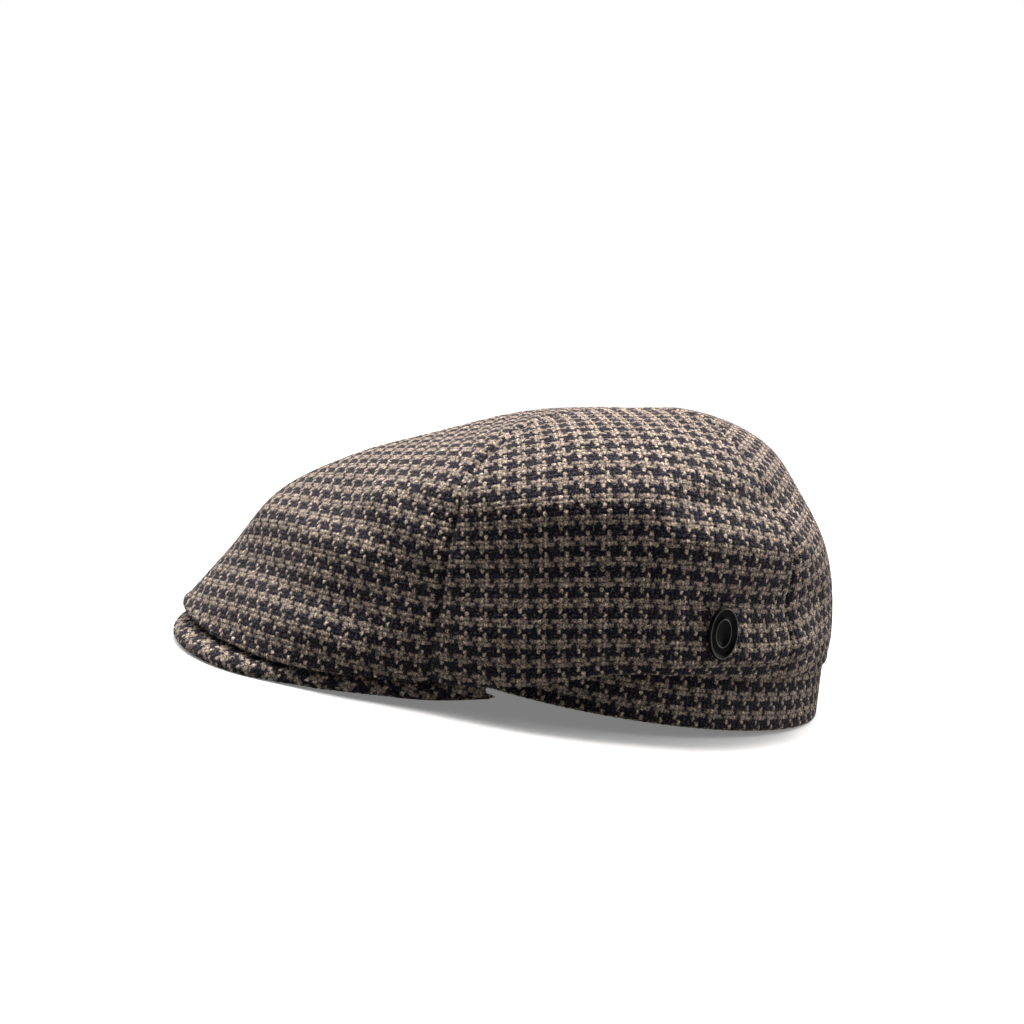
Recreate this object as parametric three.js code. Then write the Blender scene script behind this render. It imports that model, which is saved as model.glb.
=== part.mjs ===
// A flat cap in woven tweed: six crown gores, a head band, a stiffened peak and a small oval pin.
// Millimetres, +Z up, the peak towards -Y and the wearer's left towards +X.
// Every cloth piece is drawn in the wearing frame, whose origin is the middle of the head opening
// and whose Z axis is square to it, and is then tipped back to the way that the cap lies by itself.
import * as THREE from 'three';

// ---- driving dimensions -------------------------------------------------------------------------
const CLOTH = 1.8;              // crown cloth with its fused backing
const BAND_WALL = 2.4;          // band cloth folded over its tape
const SEAM_GAP = 0.45;          // clearance between neighbouring pieces
const GAP_ON_PEAK = 0.7;        // clearance under the crown's fold where it lies on the peak

const RIM_REACH = { front: 102, side: 85 };   // half length and half width of the rim, outside
const RIM_SAG = { depth: 1.3, forward: 1.2 }; // the rim hangs lower at the sides, more so forward of them
const BAND_TOP = { front: 20, back: 23 };     // height of the band above the rim plane
const BAND_LEAN = 2.5;          // how much the band's top edge is drawn in
const BAND_FOLD = 0.5;          // rounding of the fold at the band's foot

const PEAK_THICK = 4.5;         // stiff board with cloth above and below
const PEAK_SLOPE = 0.325;       // forward fall of the peak along its middle
const PEAK_ARCH = 0.00298;      // sideways bend at the root: drop = arch * x^2
const PEAK_ARCH_GAIN = 0.000015;  // how the bend eases for each millimetre forward
const PEAK_ROOT_ANGLE = 71;     // degrees from the front to each end of the peak's seam
const PEAK_ROLL = 1.3;          // radius rolled on to the peak's outer edge

const REST_PITCH = 5.1;         // degrees that the peak props the front of the cap up
const FLATTENED = 0.6;          // how far the cloth is pressed flat where it lies

const PIN = { wide: 12, tall: 20, thick: 1.9, angle: 114, row: 5.5, lean: 7, standOff: 0.5 };

// The crown's outer surface: one line of (reach from the apex axis, height) for each angle round
// the crown, measured from the front. The seat is where the turned-under edge lands.
const APEX_HEIGHT = 107;
const APEX_TILT = 0.2;          // fall of the cloth towards the front at the apex
const APEX_HOLE = 1.2;          // reach at which the gores' tips stop
const crownLines = [
  // angle, then crest, slope, shoulder, wall,
  // belly, cuff, hem, seat
  [0, [42, 97.3], [80, 79.8], [113, 62.8], [139.3, 42],
    [154.2, 15], [164.4, -2.5], [169.4, -11], [153, -13]],
  [25, [42, 97.8], [76, 82.3], [104, 65.6], [121.5, 44],
    [135.5, 15], [142.5, -2.5], [144.5, -12.5], [134, -10]],
  [55, [40, 101.3], [79, 88], [95.5, 75], [102.3, 61],
    [105, 28], [105, 9], [101.5, -3], [95, 1.5]],
  [75, [38, 103.8], [79, 92.2], [93.5, 81], [98, 68],
    [99, 38], [99, 18], [96, 5], [86.5, 17]],
  [90, [36, 105.6], [76, 95.5], [91, 84.5], [95.6, 71],
    [96.5, 44], [96.5, 27], [93, 14.5], [84.2, 22.3]],
  [110, [34, 108.2], [71, 98.2], [86.5, 86.8], [92.8, 72],
    [96, 45], [95.5, 31], [91.5, 20.5], [84.3, 22.6]],
  [135, [30, 110.6], [58.3, 101.9], [75.8, 88.3], [89.6, 70],
    [95.6, 44], [96.3, 31], [94, 21.5], [89, 23.4]],
  [180, [25, 111.3], [58.6, 102.9], [73.2, 88.7], [88, 70],
    [97.6, 44], [99.7, 31], [99.8, 23.9], [97.2, 24.1]],
];

// Where the side seams run: degrees from the front at the apex and at each row above.
const sideSeams = {
  front: [46, 43, 50.5, 52.5, 54, 55, 55.2, 55.3, 55.5],
  back: [135, 133, 129.5, 131.5, 133, 134.5, 135.5, 136, 136],
};

// Half of the peak's outline in plan, from its tip to its end on the rim.
const peakOutline = [
  // x    y
  [0, -170.5],
  [26, -166.5],
  [48, -154],
  [64, -135.5],
  [74, -109],
  [80, -80],
  [82.5, -57],
  [81.5, -38],
];

// ---- smooth curves through table values ---------------------------------------------------------
// Slopes at the knots are weighted means of the neighbouring chords, so nothing overshoots.
function knotSlopes(knots, values) {
  const chords = [];
  for (let i = 0; i + 1 < knots.length; i += 1) {
    chords.push((values[i + 1] - values[i]) / (knots[i + 1] - knots[i]));
  }
  const slopes = [chords[0]];
  for (let i = 1; i < chords.length; i += 1) {
    const before = knots[i] - knots[i - 1];
    const after = knots[i + 1] - knots[i];
    slopes.push((chords[i - 1] * after + chords[i] * before) / (before + after));
  }
  slopes.push(chords[chords.length - 1]);
  return slopes;
}

function smoothCurve(knots, values, endSlopes = {}) {
  const slopes = knotSlopes(knots, values);
  if (endSlopes.first !== undefined) slopes[0] = endSlopes.first;
  if (endSlopes.last !== undefined) slopes[slopes.length - 1] = endSlopes.last;
  return (x) => {
    let i = 0;
    while (i < knots.length - 2 && x > knots[i + 1]) i += 1;
    const step = knots[i + 1] - knots[i];
    const u = (x - knots[i]) / step;
    const v = 1 - u;
    return v * v * (1 + 2 * u) * values[i] + u * u * (1 + 2 * v) * values[i + 1]
      + u * v * step * (v * slopes[i] - u * slopes[i + 1]);
  };
}

// ---- surfaces in the wearing frame --------------------------------------------------------------
const radians = THREE.MathUtils.degToRad;

function rimPoint(angle, height, outset = 0) {
  const across = (RIM_REACH.side + outset) * Math.sin(angle);
  const along = -(RIM_REACH.front + outset) * Math.cos(angle);
  return new THREE.Vector3(across, along, height);
}

function peakUnderside(x, y) {
  const forward = y + RIM_REACH.front;
  return PEAK_SLOPE * forward - (PEAK_ARCH + PEAK_ARCH_GAIN * forward) * x * x;
}

function peakTop(x, y) {
  const forward = y + RIM_REACH.front;
  const acrossSlope = 2 * (PEAK_ARCH + PEAK_ARCH_GAIN * forward) * x;
  return peakUnderside(x, y) + PEAK_THICK * Math.hypot(1, acrossSlope, PEAK_SLOPE);
}

// One crown line at any angle: its reach and height at each row, from smooth curves round the crown.
const lineAngles = crownLines.map(([angle]) => angle);
const rowCount = crownLines[0].length - 1;
const roundCrown = [];
for (let row = 1; row <= rowCount; row += 1) {
  const level = { first: 0, last: 0 };
  const reach = smoothCurve(lineAngles, crownLines.map((line) => line[row][0]), level);
  const height = smoothCurve(lineAngles, crownLines.map((line) => line[row][1]), level);
  roundCrown.push({ reach, height });
}
const HEM_ROW = rowCount - 1;
const SEAT_ROW = rowCount;

function crownLine(angle) {
  const degrees = Math.abs(THREE.MathUtils.radToDeg(angle));
  const reaches = [0];
  const heights = [APEX_HEIGHT];
  for (const { reach, height } of roundCrown) {
    reaches.push(reach(degrees));
    heights.push(height(degrees));
  }
  for (const row of [HEM_ROW, SEAT_ROW]) {
    const x = reaches[row] * Math.sin(angle);
    const y = -reaches[row] * Math.cos(angle);
    if (degrees < PEAK_ROOT_ANGLE) heights[row] = Math.max(heights[row], peakTop(x, y) + GAP_ON_PEAK);
  }
  const chord = [0];
  for (let row = 1; row <= HEM_ROW; row += 1) {
    chord.push(chord[row - 1] + Math.hypot(reaches[row] - reaches[row - 1], heights[row] - heights[row - 1]));
  }
  const wall = { reach: reaches.slice(0, SEAT_ROW), height: heights.slice(0, SEAT_ROW) };
  const reachAlong = smoothCurve(chord, wall.reach, { first: 1 });
  const heightAlong = smoothCurve(chord, wall.height, { first: -APEX_TILT * Math.cos(angle) });
  return (row) => {
    if (row > HEM_ROW) {
      const u = row - HEM_ROW;
      return [THREE.MathUtils.lerp(reaches[HEM_ROW], reaches[SEAT_ROW], u),
        THREE.MathUtils.lerp(heights[HEM_ROW], heights[SEAT_ROW], u)];
    }
    const i = Math.min(Math.floor(row), HEM_ROW - 1);
    const along = THREE.MathUtils.lerp(chord[i], chord[i + 1], row - i);
    return [reachAlong(along), heightAlong(along)];
  };
}

function crownPoint(angle, row) {
  const [reach, height] = crownLine(angle)(row);
  return new THREE.Vector3(reach * Math.sin(angle), -reach * Math.cos(angle), height);
}

// ---- closed solids from grids of points ---------------------------------------------------------
// The floor lies FLATTENED above the lowest points of the tipped cap: what is lower is pressed flat.
const tip = new THREE.Euler(-radians(REST_PITCH), 0, 0);
const lowestAtBack = rimPoint(Math.PI, 0, -BAND_FOLD).applyEuler(tip).z;

function asItLies(point) {
  const tipped = point.clone().applyEuler(tip);
  tipped.z = Math.max(tipped.z - lowestAtBack - FLATTENED, 0);
  return tipped;
}

function solid(points, triangles) {
  const geometry = new THREE.BufferGeometry();
  const flat = points.flatMap((point) => asItLies(point).toArray());
  geometry.setAttribute('position', new THREE.Float32BufferAttribute(flat, 3));
  geometry.setIndex(triangles.flat());
  geometry.computeVertexNormals();
  return geometry;
}

function quads(rows, columns, index, triangles, flip = false) {
  for (let i = 0; i < rows; i += 1) {
    for (let j = 0; j < columns; j += 1) {
      const a = index(i, j);
      const b = index(i + 1, j);
      const c = index(i + 1, j + 1);
      const d = index(i, j + 1);
      if (flip) triangles.push([a, c, b], [a, d, c]);
      else triangles.push([a, b, c], [a, c, d]);
    }
  }
}

// A wall of cloth between an outer and an inner grid of the same size, closed along its four edges.
function wallOfCloth(outer, inner) {
  const rows = outer.length - 1;
  const columns = outer[0].length - 1;
  const width = columns + 1;
  const points = [...outer.flat(), ...inner.flat()];
  const out = (i, j) => i * width + j;
  const inn = (i, j) => (rows + 1) * width + out(i, j);
  const triangles = [];
  quads(rows, columns, out, triangles);
  quads(rows, columns, inn, triangles, true);
  quads(1, columns, (i, j) => (i ? out(0, j) : inn(0, j)), triangles);
  quads(1, columns, (i, j) => (i ? inn(rows, j) : out(rows, j)), triangles);
  quads(rows, 1, (i, j) => (j ? out(i, 0) : inn(i, 0)), triangles);
  quads(rows, 1, (i, j) => (j ? inn(i, columns) : out(i, columns)), triangles);
  return solid(points, triangles);
}

// A solid swept through sections that all have the same number of points, as a ring or with two ends.
function throughSections(sections, isRing) {
  const sides = sections[0].length;
  const count = sections.length;
  const triangles = [];
  const index = (i, j) => (i % count) * sides + (j % sides);
  quads(isRing ? count : count - 1, sides, index, triangles);
  if (!isRing) {
    for (let j = 1; j + 1 < sides; j += 1) {
      triangles.push([index(0, 0), index(0, j), index(0, j + 1)]);
      triangles.push([index(count - 1, 0), index(count - 1, j + 1), index(count - 1, j)]);
    }
  }
  return solid(sections.flat(), triangles);
}

// ---- materials ----------------------------------------------------------------------------------
const tweed = (color) => new THREE.MeshStandardMaterial({ color, roughness: 0.95, metalness: 0 });
const gunmetal = new THREE.MeshStandardMaterial({ color: 0x3a3836, roughness: 0.4, metalness: 0.9 });
const cap = new THREE.Group();

function addPiece(name, geometry, material) {
  const mesh = new THREE.Mesh(geometry, material);
  mesh.name = name;
  cap.add(mesh);
  return mesh;
}

// ---- crown gores --------------------------------------------------------------------------------
// Rows of a gore's grid: steps in each stretch between two rows of the table.
const STEPS_IN_STRETCH = [3, 3, 3, 3, 3, 2, 3, 2];
const STEPS_ACROSS = 7;
const goreRows = [];
STEPS_IN_STRETCH.forEach((steps, stretch) => {
  for (let k = 0; k < steps; k += 1) goreRows.push(stretch + k / steps);
});
goreRows.push(SEAT_ROW);

const seamAngle = (degreesByRow) => {
  const curve = smoothCurve(degreesByRow.map((_, row) => row), degreesByRow);
  return (row) => radians(curve(row));
};
const frontSeam = seamAngle(sideSeams.front);
const backSeam = seamAngle(sideSeams.back);
const centreFront = () => 0;
const centreBack = () => Math.PI;

// The row's tip is where the gore has reached APEX_HOLE from the axis.
function tipRow(angle) {
  const [reach] = crownLine(angle)(0.1);
  return 0.1 * APEX_HOLE / reach;
}

// The inside of the cloth under a point of the crown's outer surface. It stays in the upright plane
// through that point and the apex axis, so that gores which meet at a seam keep their clearance.
const NUDGE = 0.01;

function inwardNormal(angle, fromRow, toRow) {
  const middle = (fromRow + toRow) / 2;
  const down = crownPoint(angle, toRow).sub(crownPoint(angle, fromRow));
  const across = crownPoint(angle + NUDGE, middle).sub(crownPoint(angle - NUDGE, middle));
  return across.cross(down).normalize();
}

function insideOfCloth(angle, row) {
  const above = inwardNormal(angle, row - NUDGE, row);
  const normal = row < SEAT_ROW ? inwardNormal(angle, row, row + NUDGE) : above;
  const depth = normal.clone();
  if (row === HEM_ROW) depth.add(above).divideScalar(1 + above.dot(normal));
  const sideways = new THREE.Vector3(Math.cos(angle), Math.sin(angle), 0);
  depth.addScaledVector(sideways, -depth.dot(sideways));
  depth.multiplyScalar(CLOTH / depth.dot(normal));
  return crownPoint(angle, row).add(depth);
}

function goreGeometry(fromSeam, toSeam) {
  const outer = [];
  const inner = [];
  for (const wanted of goreRows) {
    const outerLine = [];
    const innerLine = [];
    for (let k = 0; k <= STEPS_ACROSS; k += 1) {
      const share = k / STEPS_ACROSS;
      const row = Math.max(wanted, tipRow(THREE.MathUtils.lerp(fromSeam(wanted), toSeam(wanted), share)));
      const [reach] = crownLine(fromSeam(row))(row);
      const clearance = SEAM_GAP / 2 / reach;
      const angle = THREE.MathUtils.lerp(fromSeam(row) + clearance, toSeam(row) - clearance, share);
      outerLine.push(crownPoint(angle, row));
      innerLine.push(insideOfCloth(angle, row));
    }
    outer.push(outerLine);
    inner.push(innerLine);
  }
  return { outer, inner };
}

function mirrored(grid) {
  return grid.map((line) => line.map((point) => new THREE.Vector3(-point.x, point.y, point.z)).reverse());
}

const gores = [
  ['front', centreFront, frontSeam, 0xa39183],
  ['side', frontSeam, backSeam, 0x8d7f74],
  ['back', backSeam, centreBack, 0xa39183],
];
for (const [place, fromSeam, toSeam, color] of gores) {
  const { outer, inner } = goreGeometry(fromSeam, toSeam);
  addPiece(`crown_${place}_left`, wallOfCloth(outer, inner), tweed(color));
  addPiece(`crown_${place}_right`, wallOfCloth(mirrored(outer), mirrored(inner)), tweed(color));
}

// ---- head band ----------------------------------------------------------------------------------
const BAND_STEPS = 72;
const bandSection = [
  // outset from the rim line, share of the height
  [-BAND_LEAN - BAND_WALL, 1],
  [-BAND_LEAN / 2 - BAND_WALL, 0.5],
  [-BAND_WALL, 0.07],
  [-BAND_WALL + BAND_FOLD, 0],
  [-BAND_FOLD, 0],
  [0, 0.07],
  [-BAND_LEAN / 2, 0.5],
  [-BAND_LEAN, 1],
];
const bandSections = [];
for (let k = 0; k < BAND_STEPS; k += 1) {
  const angle = (k / BAND_STEPS) * 2 * Math.PI;
  const foot = -RIM_SAG.depth * Math.sin(angle) ** 2 * (1 + RIM_SAG.forward * Math.cos(angle));
  const head = THREE.MathUtils.lerp(BAND_TOP.front, BAND_TOP.back, (1 - Math.cos(angle)) / 2);
  bandSections.push(bandSection.map(([outset, share]) => (
    rimPoint(angle, THREE.MathUtils.lerp(foot, head, share), outset))));
}
addPiece('band', throughSections(bandSections, true), tweed(0x948679));

// ---- peak ---------------------------------------------------------------------------------------
const PEAK_STEPS = 40;
const peakWidths = [0, 0.3, 0.6, 0.85, 1];
const outlineRun = [0];
for (let k = 1; k < peakOutline.length; k += 1) {
  const [x, y] = peakOutline[k];
  outlineRun.push(outlineRun[k - 1] + Math.hypot(x - peakOutline[k - 1][0], y - peakOutline[k - 1][1]));
}
const runLength = outlineRun[outlineRun.length - 1];
const outlineX = smoothCurve(outlineRun, peakOutline.map(([x]) => x));
const outlineY = smoothCurve(outlineRun, peakOutline.map(([, y]) => y), { first: 0 });

const peakSections = [];
for (let k = 0; k <= PEAK_STEPS; k += 1) {
  const share = 2 * (k / PEAK_STEPS) - 1;
  const side = Math.sign(share) || 1;
  const run = Math.abs(share) * runLength;
  const root = rimPoint(share * radians(PEAK_ROOT_ANGLE), 0, SEAM_GAP);
  const edge = new THREE.Vector3(side * outlineX(run), outlineY(run), 0);
  const roll = PEAK_ROLL / root.distanceTo(edge);
  const plan = peakWidths.map((width) => root.clone().lerp(edge, width * (1 - roll)));
  const top = plan.map(({ x, y }) => new THREE.Vector3(x, y, peakTop(x, y)));
  const under = plan.map(({ x, y }) => new THREE.Vector3(x, y, peakUnderside(x, y)));
  edge.z = (peakTop(edge.x, edge.y) + peakUnderside(edge.x, edge.y)) / 2;
  peakSections.push([...under, edge, ...top.reverse()]);
}
addPiece('peak', throughSections(peakSections, false), tweed(0x7f7268));

// ---- pin on the wearer's left -------------------------------------------------------------------
const pinProfile = [
  // share of the half height, height above the cloth
  [0, 0],
  [0.94, 0],
  [1, 0.4],
  [1, 0.8],
  [0.93, 1],
  [0.85, 0.75],
  [0.8, 0.6],
  [0, 0.8],
].map(([share, rise]) => new THREE.Vector2(share * PIN.tall / 2, rise * PIN.thick));
const PIN_SEGMENTS = 32;
const pinGeometry = new THREE.LatheGeometry(pinProfile, PIN_SEGMENTS);
const pinAngle = radians(PIN.angle);
const pinAt = (angle, row) => crownPoint(angle, row).applyEuler(tip);
const pinSeat = asItLies(crownPoint(pinAngle, PIN.row));
const pinDown = pinAt(pinAngle, PIN.row + NUDGE).sub(pinAt(pinAngle, PIN.row - NUDGE));
const pinAcross = pinAt(pinAngle + NUDGE, PIN.row).sub(pinAt(pinAngle - NUDGE, PIN.row));
const pinOut = pinDown.cross(pinAcross).normalize();
const upright = new THREE.Vector3(0, -Math.sin(radians(PIN.lean)), Math.cos(radians(PIN.lean)));
const pinSide = pinOut.clone().cross(upright).normalize();
const pinUp = pinSide.clone().cross(pinOut);
const pin = addPiece('pin_badge', pinGeometry, gunmetal);
pin.quaternion.setFromRotationMatrix(new THREE.Matrix4().makeBasis(pinSide, pinOut, pinUp));
pin.scale.set(PIN.wide / PIN.tall, 1, 1);
pin.position.copy(pinSeat).addScaledVector(pinOut, PIN.standOff);

// ---- the origin is the middle of the cap's footprint box ----------------------------------------
cap.updateMatrixWorld(true);
const middle = new THREE.Box3().setFromObject(cap, true).getCenter(new THREE.Vector3());
cap.position.set(-middle.x, -middle.y, 0);

export default cap;
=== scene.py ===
import bmesh
import bpy
import numpy as np
from mathutils import Matrix, Vector
from mathutils.bvhtree import BVHTree


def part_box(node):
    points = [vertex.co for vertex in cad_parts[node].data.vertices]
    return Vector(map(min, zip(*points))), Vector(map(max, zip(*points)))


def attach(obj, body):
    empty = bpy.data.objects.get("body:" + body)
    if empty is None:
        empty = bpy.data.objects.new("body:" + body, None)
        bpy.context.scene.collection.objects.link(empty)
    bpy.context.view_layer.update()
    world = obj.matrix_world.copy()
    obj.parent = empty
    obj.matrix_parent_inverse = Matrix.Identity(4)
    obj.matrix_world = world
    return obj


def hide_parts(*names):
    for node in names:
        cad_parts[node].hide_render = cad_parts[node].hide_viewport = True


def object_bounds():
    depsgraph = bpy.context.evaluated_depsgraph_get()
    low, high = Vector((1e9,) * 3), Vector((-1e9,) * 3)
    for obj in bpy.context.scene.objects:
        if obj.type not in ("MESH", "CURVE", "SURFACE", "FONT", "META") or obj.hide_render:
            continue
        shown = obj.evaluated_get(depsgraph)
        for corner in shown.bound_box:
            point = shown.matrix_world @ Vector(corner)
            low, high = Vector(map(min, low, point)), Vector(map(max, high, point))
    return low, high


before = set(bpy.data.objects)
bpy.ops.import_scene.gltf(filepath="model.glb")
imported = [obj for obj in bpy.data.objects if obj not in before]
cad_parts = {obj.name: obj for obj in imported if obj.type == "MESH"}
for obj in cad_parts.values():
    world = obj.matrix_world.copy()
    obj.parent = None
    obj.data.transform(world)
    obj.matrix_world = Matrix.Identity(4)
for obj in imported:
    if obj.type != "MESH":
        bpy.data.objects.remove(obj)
cad_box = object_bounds()

# ---- head band ----------------------------------------------------------------------------------
# The head band is a strip of the cap's own woven wool, folded at its foot round the rim and sewn
# to the crown at its top. The rim is an oval. The cap lies tipped back on it, with its front propped
# up by the peak, so every piece is drawn square to the head opening and then tipped.
# Sizes are in mm till the points are handed to a mesh. Angles are written in degrees. COVER is the
# thickness of the woven cover. The band's check is drafted from its depth at one angle round it.
MM = 0.001
RIM_REACH = {"front": 102, "side": 85}
RIM_SAG = {"depth": 1.3, "forward": 1.2}
REST_PITCH = np.radians(5.1)
FLATTENED = 0.6
BAND = {"wall": 2.4, "lean": 2.5, "fold": 1.3, "front_top": 20, "back_top": 23}
BAND_CREASE = {"height": 4.2, "half_width": 1.1, "depth": 0.9, "from": 68, "to": 118, "fade": 35}
BAND_TURNS = 241
BAND_FOOT_SHARE = 0.06
FOLD_DEGREES = (20, 160)
DRAFTED_AT = 100
DRAFT_RISE = 2.0
COVER = 0.6

# The weave, in mm: the thread's spacing, how high its rounded top stands, how deep the pits between
# threads are. The insets and the raised warp's width are shares of a thread.
THREAD = 1.81
THREAD_CROWN = {"warp": 0.26, "weft": 0.12}
THREAD_PIT = -0.2
THREAD_INSET = {"along": 0.24, "across": 0.17}
WARP_WIDTH = 0.78
YARNS_IN_CHECK = 4
POINTS_TO_THREAD = {"outside": 3, "inside": 1}
# How near a point is to the cut's edge line, in threads, the least face kept, in square threads, and
# how near two points are to be one, in metres.
ON_CUT = 1e-4
LEAST_FACE = 1e-4
WELD = 2e-6


def rim_points(angle, height, outset=0.0):
    """Points round the head opening, from the front, with the opening level."""
    across = (RIM_REACH["side"] + outset) * np.sin(angle)
    along = -(RIM_REACH["front"] + outset) * np.cos(angle)
    return np.stack(np.broadcast_arrays(across, along, height), -1)


def rim_height(angle):
    """The rim hangs lower at the sides, most of all a little forward of the middle."""
    return -RIM_SAG["depth"] * np.sin(angle) ** 2 * (1 + RIM_SAG["forward"] * np.cos(angle))


def tipped(points):
    """Points tipped back by the angle at which the cap lies."""
    sin, cos = np.sin(-REST_PITCH), np.cos(-REST_PITCH)
    x, y, z = np.moveaxis(np.asarray(points, float), -1, 0)
    return np.stack([x, y * cos - z * sin, y * sin + z * cos], -1)


# The tipped rim is let down till its back is pressed flat, and slid to start where the CAD band does.
rim_back = tipped(rim_points(np.pi, 0, -0.5))
band_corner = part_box("band")[0]
rim_turn = np.linspace(0, np.pi, 181)
rim_low = tipped(rim_points(rim_turn, rim_height(rim_turn)))
floor_height = rim_back[2] + FLATTENED
slide_back = band_corner.y / MM - rim_low[:, 1].min()


def as_it_lies(points):
    """Points drawn square to the head opening, moved to where the cap lies, its foot pressed flat."""
    rested = tipped(points)
    rested[..., 1] += slide_back
    rested[..., 2] = np.maximum(rested[..., 2] - floor_height, 0)
    return rested


def surface_normals(grid):
    """The outward direction at each point of a grid, shared where its sides meet all the way round."""
    down = np.gradient(grid, axis=0)
    along = np.gradient(grid, axis=1)
    normal = np.cross(down, along)
    if np.allclose(grid[:, 0], grid[:, -1]):
        normal[:, 0] += normal[:, -1]
        normal[:, -1] = normal[:, 0]
    return normal / np.maximum(np.linalg.norm(normal, axis=-1, keepdims=True), 1e-9)


def flat_pattern(grid):
    """The flat cut that a formed piece of cloth came from, in mm, its middle line upright."""
    rows, columns = grid.shape[:2]
    index = np.arange(rows * columns).reshape(rows, columns)
    quads = np.stack([index[:-1, :-1], index[1:, :-1], index[1:, 1:], index[:-1, 1:]], -1)
    mesh = bpy.data.meshes.new("pattern")
    mesh.from_pydata(grid.reshape(-1, 3), [], quads.reshape(-1, 4).tolist())
    piece = bpy.data.objects.new("pattern", mesh)
    bpy.context.scene.collection.objects.link(piece)
    bpy.context.view_layer.objects.active = piece
    piece.select_set(True)
    mesh.uv_layers.new(name="pattern")
    bpy.ops.object.mode_set(mode="EDIT")
    bpy.ops.mesh.select_all(action="SELECT")
    bpy.ops.uv.unwrap(method="MINIMUM_STRETCH", iterations=20)
    bpy.ops.object.mode_set(mode="OBJECT")
    corners = np.zeros(len(mesh.loops) * 2)
    mesh.uv_layers[0].data.foreach_get("uv", corners)
    corner_points = np.zeros(len(mesh.loops), int)
    mesh.loops.foreach_get("vertex_index", corner_points)
    flat = np.zeros((rows * columns, 2))
    flat[corner_points] = corners.reshape(-1, 2)
    flat = flat.reshape(rows, columns, 2)
    bpy.data.objects.remove(piece)
    bpy.data.meshes.remove(mesh)
    span = np.linalg.norm(np.diff(grid[:, columns // 2], axis=0), axis=1).sum()
    upward = flat[0, columns // 2] - flat[-1, columns // 2]
    turn = np.array([[upward[1], -upward[0]], [upward[0], upward[1]]]) / np.linalg.norm(upward)
    flat = (flat - flat[-1, columns // 2]) @ turn.T
    flat *= span / np.linalg.norm(np.diff(flat[:, columns // 2], axis=0), axis=1).sum()
    across = flat[rows // 2, -1, 0] - flat[rows // 2, 0, 0]
    if across < 0:
        flat[..., 0] *= -1
    return flat


def sheet_on(grid, pattern, depth_grid, steps):
    """A lattice of thread lines over the pattern, steps points to a thread, carried on to the grid."""
    rows, columns = grid.shape[:2]
    index = np.arange(rows * columns).reshape(rows, columns)
    a, b, c, d = index[:-1, :-1], index[1:, :-1], index[1:, 1:], index[:-1, 1:]
    triangles = np.concatenate([np.stack([a, b, c], -1), np.stack([a, c, d], -1)]).reshape(-1, 3)
    flat = np.concatenate([pattern.reshape(-1, 2) / THREAD, np.zeros((rows * columns, 1))], 1)
    tree = BVHTree.FromPolygons(flat.tolist(), triangles.tolist())
    low = np.floor(flat.min(0)).astype(int) - 1
    high = np.ceil(flat.max(0)).astype(int) + 1
    count = (high - low) * steps
    ku, kv = np.meshgrid(np.arange(count[0] + 1), np.arange(count[1] + 1))
    lattice = np.stack([low[0] + ku / steps, low[1] + kv / steps], -1)
    height = np.zeros(ku.shape)
    if steps == POINTS_TO_THREAD["outside"]:
        column, row = low[0] + ku // steps, low[1] + kv // steps
        part_u, part_v = ku % steps, kv % steps
        middle = (part_u > 0) & (part_v > 0)
        warp_on_top = (column + row) % 2 == 1
        inset_u = np.where(warp_on_top, THREAD_INSET["along"], THREAD_INSET["across"])
        inset_v = np.where(warp_on_top, THREAD_INSET["across"], THREAD_INSET["along"])
        spot_u = column + np.where(part_u == 1, inset_u, 1 - inset_u)
        spot_v = row + np.where(part_v == 1, inset_v, 1 - inset_v)
        lattice[middle, 0] = spot_u[middle]
        lattice[middle, 1] = spot_v[middle]
        crown = np.where(warp_on_top, THREAD_CROWN["warp"], THREAD_CROWN["weft"])
        height[middle] = crown[middle]
        height[(part_u == 0) & (part_v == 0)] = THREAD_PIT
    points = lattice.reshape(-1, 2)
    nearest = [tree.find_nearest((u, v, 0.0)) for u, v in points]
    spot = np.array([tuple(hit[0])[:2] for hit in nearest])
    triangle = triangles[[hit[2] for hit in nearest]]
    inside = np.array([hit[3] for hit in nearest]) < ON_CUT
    corner = flat[triangle][..., :2]
    edge_b, edge_c = corner[:, 1] - corner[:, 0], corner[:, 2] - corner[:, 0]
    offset = spot - corner[:, 0]
    area = edge_b[:, 0] * edge_c[:, 1] - edge_b[:, 1] * edge_c[:, 0]
    share_b = (offset[:, 0] * edge_c[:, 1] - offset[:, 1] * edge_c[:, 0]) / area
    share_c = (edge_b[:, 0] * offset[:, 1] - edge_b[:, 1] * offset[:, 0]) / area
    shares = np.stack([1 - share_b - share_c, share_b, share_c], -1)[..., None]
    position = (grid.reshape(-1, 3)[triangle] * shares).sum(1)
    normal = (surface_normals(grid).reshape(-1, 3)[triangle] * shares).sum(1)
    normal /= np.linalg.norm(normal, axis=1, keepdims=True)
    depth = (depth_grid.reshape(-1)[triangle] * shares[..., 0]).sum(1)
    number = np.arange(ku.size).reshape(ku.shape)
    quads = np.stack([number[:-1, :-1], number[:-1, 1:], number[1:, 1:], number[1:, :-1]], -1)
    quads = quads.reshape(-1, 4)
    quads = quads[inside[quads].any(1)]
    across, up = (spot[quads[:, 2]] - spot[quads[:, 0]]).T, (spot[quads[:, 3]] - spot[quads[:, 1]]).T
    quads = quads[np.abs(across[0] * up[1] - across[1] * up[0]) > LEAST_FACE]
    return position, normal, np.where(inside, height.ravel(), 0), depth, spot, quads


def joined_runs(edges):
    """The runs of edges that join up, longest first."""
    waiting = dict.fromkeys(edges)
    runs = []
    while waiting:
        run = [next(iter(waiting))]
        del waiting[run[0]]
        for edge in run:
            for beside in (other for corner in edge.verts for other in corner.link_edges):
                if beside in waiting:
                    del waiting[beside]
                    run.append(beside)
        runs.append(run)
    return sorted(runs, key=len, reverse=True)


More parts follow.
